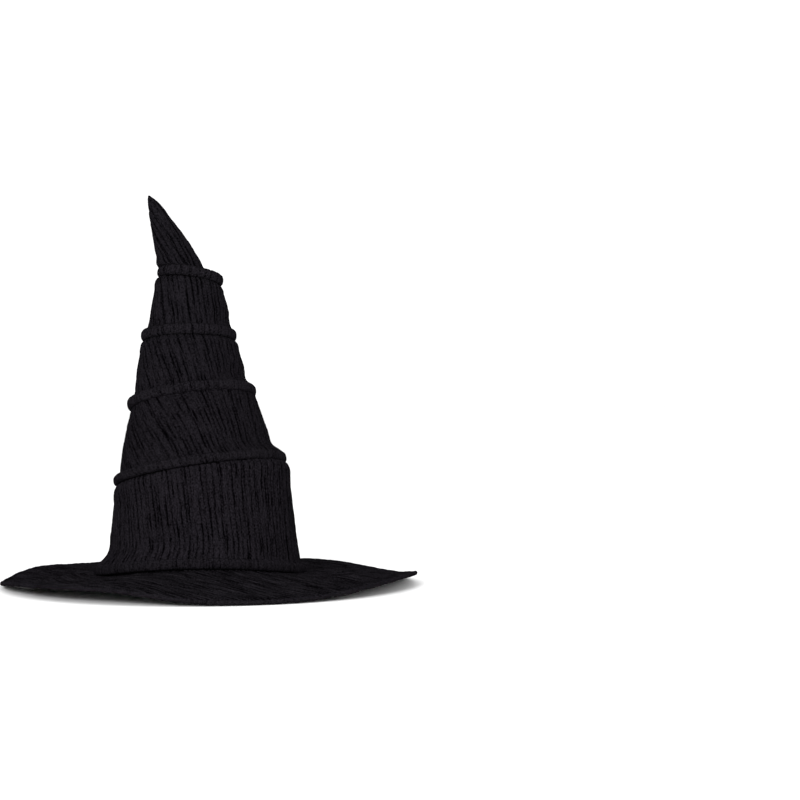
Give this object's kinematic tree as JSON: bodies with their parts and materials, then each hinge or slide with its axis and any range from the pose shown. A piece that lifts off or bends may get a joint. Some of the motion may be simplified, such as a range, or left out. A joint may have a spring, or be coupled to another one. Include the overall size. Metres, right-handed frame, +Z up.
{
  "type": "witch hat",
  "caption": "Tall soft witch hat with a wide wired brim, a leaning crown of pleated cloth bands joined by corded welts, and a bent pointed tip.",
  "frame": {"origin": "centre of the round brim, at the height of the surface that the brim rests on", "axes": "+Z up; -Y is the hat's front; +X is to the right of someone who looks at the front"},
  "size_m": [0.4, 0.4, 0.379],
  "materials": {
    "pleated_cloth": "crinkle-pleated matt cloth",
    "welt_cloth": "matt cloth gathered over cord",
    "edge_binding": "narrow matt binding",
    "under_brim_satin": "smooth cloth with a low sheen",
    "lining_cloth": "smooth plain-weave lining",
    "sweatband_ribbon": "ribbed grosgrain ribbon",
    "foam_backing": "open-cell foam sheet",
    "filler_cord": "soft twisted cord",
    "stiffener": "stiff woven interlining",
    "stuffing": "soft fibre",
    "steel_wire": "plain"
  },
  "bodies": {
    "brim_and_lower_crown": {"brim_upper": "pleated_cloth", "brim_stiffener": "stiffener", "brim_lower": "under_brim_satin", "brim_wire": "steel_wire", "brim_binding": "edge_binding", "base_welt_cover": "welt_cloth", "base_welt_cord": "filler_cord", "sweatband": "sweatband_ribbon", "crown_lining_side": "lining_cloth", "crown_lining_tip": "lining_cloth", "tier_1_cloth": "pleated_cloth", "tier_1_foam": "foam_backing", "welt_1_cover": "welt_cloth", "welt_1_cord": "filler_cord", "tier_2_cloth": "pleated_cloth", "tier_2_foam": "foam_backing", "welt_2_cover": "welt_cloth", "welt_2_cord": "filler_cord"},
    "third_tier": {"tier_3_cloth": "pleated_cloth", "tier_3_foam": "foam_backing", "welt_3_cover": "welt_cloth", "welt_3_cord": "filler_cord"},
    "top_tier": {"tier_4_cloth": "pleated_cloth", "tier_4_foam": "foam_backing", "welt_4_cover": "welt_cloth", "welt_4_cord": "filler_cord"},
    "tip": {"tip_cloth": "pleated_cloth", "tip_filling": "stuffing"}
  },
  "joints": [
    {"name": "third_tier_bend", "type": "hinge", "parent": "brim_and_lower_crown", "child": "third_tier", "pos_m": [-0.018, 0.0244, 0.18], "axis": [0, 1, 0], "range_deg": [-8, 8], "stiffness_Nm_per_rad": 1.5},
    {"name": "top_tier_bend", "type": "hinge", "parent": "third_tier", "child": "top_tier", "pos_m": [-0.0213, 0.0297, 0.241], "axis": [0, 1, 0], "range_deg": [-10, 10], "stiffness_Nm_per_rad": 0.6},
    {"name": "tip_bend", "type": "hinge", "parent": "top_tier", "child": "tip", "pos_m": [-0.0203, 0.034, 0.2995], "axis": [0, 1, 0], "range_deg": [-12, 27], "stiffness_Nm_per_rad": 0.25}
  ]
}
